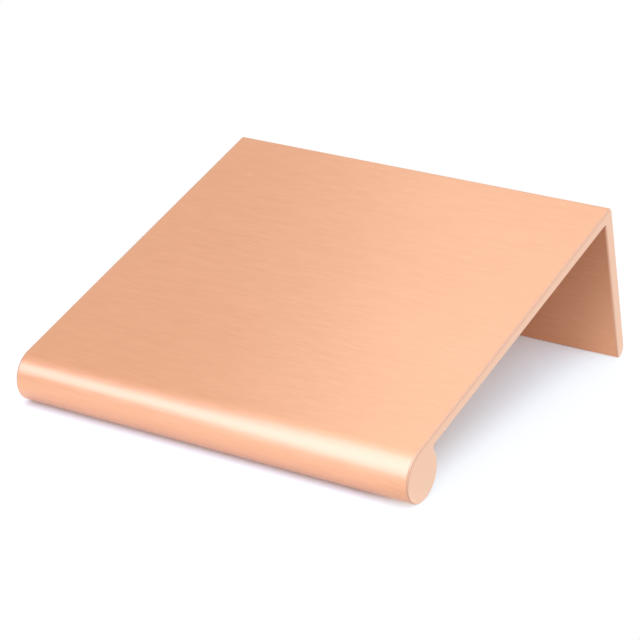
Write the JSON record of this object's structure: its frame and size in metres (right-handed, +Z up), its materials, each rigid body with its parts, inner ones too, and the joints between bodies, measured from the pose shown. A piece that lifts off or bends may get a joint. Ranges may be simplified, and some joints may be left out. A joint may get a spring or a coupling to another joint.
{
  "type": "tab pull",
  "caption": "Tab pull for a drawer or cabinet door: flat plate with a round finger bead along its front edge and a drilled flange down its back, in brushed copper finish.",
  "frame": {"origin": "midway between the screw holes, on the flange's mating face", "axes": "+Z up with the plate level, X across the width along the row of screws, -Y towards the hand"},
  "size_m": [0.05, 0.049, 0.0207],
  "materials": {
    "brushed_copper": "copper-coloured, brushed across the width"
  },
  "bodies": {
    "root": {"tab_pull": "brushed_copper"}
  },
  "joints": []
}
